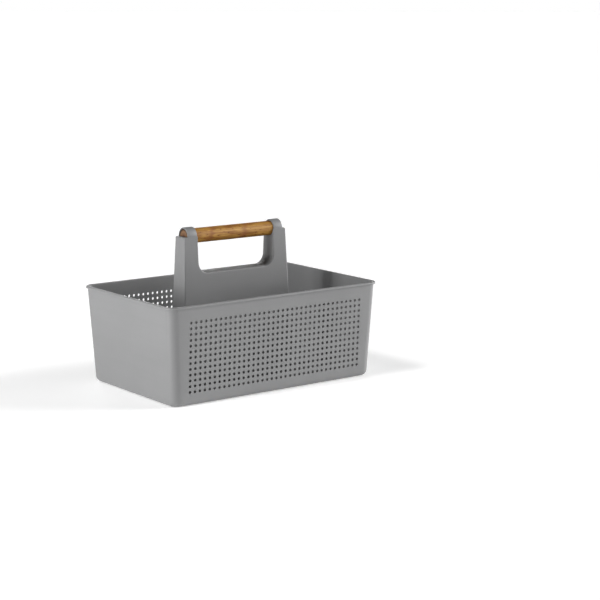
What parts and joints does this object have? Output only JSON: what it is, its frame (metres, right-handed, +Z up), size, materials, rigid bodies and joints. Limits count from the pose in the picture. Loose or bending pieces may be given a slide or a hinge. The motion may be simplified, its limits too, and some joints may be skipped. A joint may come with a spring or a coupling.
{
  "type": "cleaning caddy",
  "caption": "Open drafted plastic caddy with perforated long walls, a central handle tower and a round bamboo grip that turns in its saddles.",
  "frame": {"origin": "on the table, under the middle of the basket", "axes": "+X along the grip and the long side, +Z up; the long walls face -Y (front) and +Y (back)"},
  "size_m": [0.314, 0.204, 0.198],
  "materials": {
    "grey_plastic": "fine moulded satin, mid grey",
    "bamboo": "turned and oiled, orange brown with darker nodes",
    "screw_steel": "zinc plated"
  },
  "bodies": {
    "caddy": {"basket": "grey_plastic", "handle_tower": "grey_plastic", "grip_cap_left": "grey_plastic", "grip_cap_right": "grey_plastic", "tower_screw_front_left": "screw_steel", "tower_screw_back_left": "screw_steel", "tower_screw_front_right": "screw_steel", "tower_screw_back_right": "screw_steel"},
    "grip": {"bamboo_grip": "bamboo"}
  },
  "joints": [
    {"name": "grip_turn", "type": "hinge", "parent": "caddy", "child": "grip", "pos_m": [0, 0, 0.1868], "axis": [1, 0, 0], "continuous": true}
  ]
}
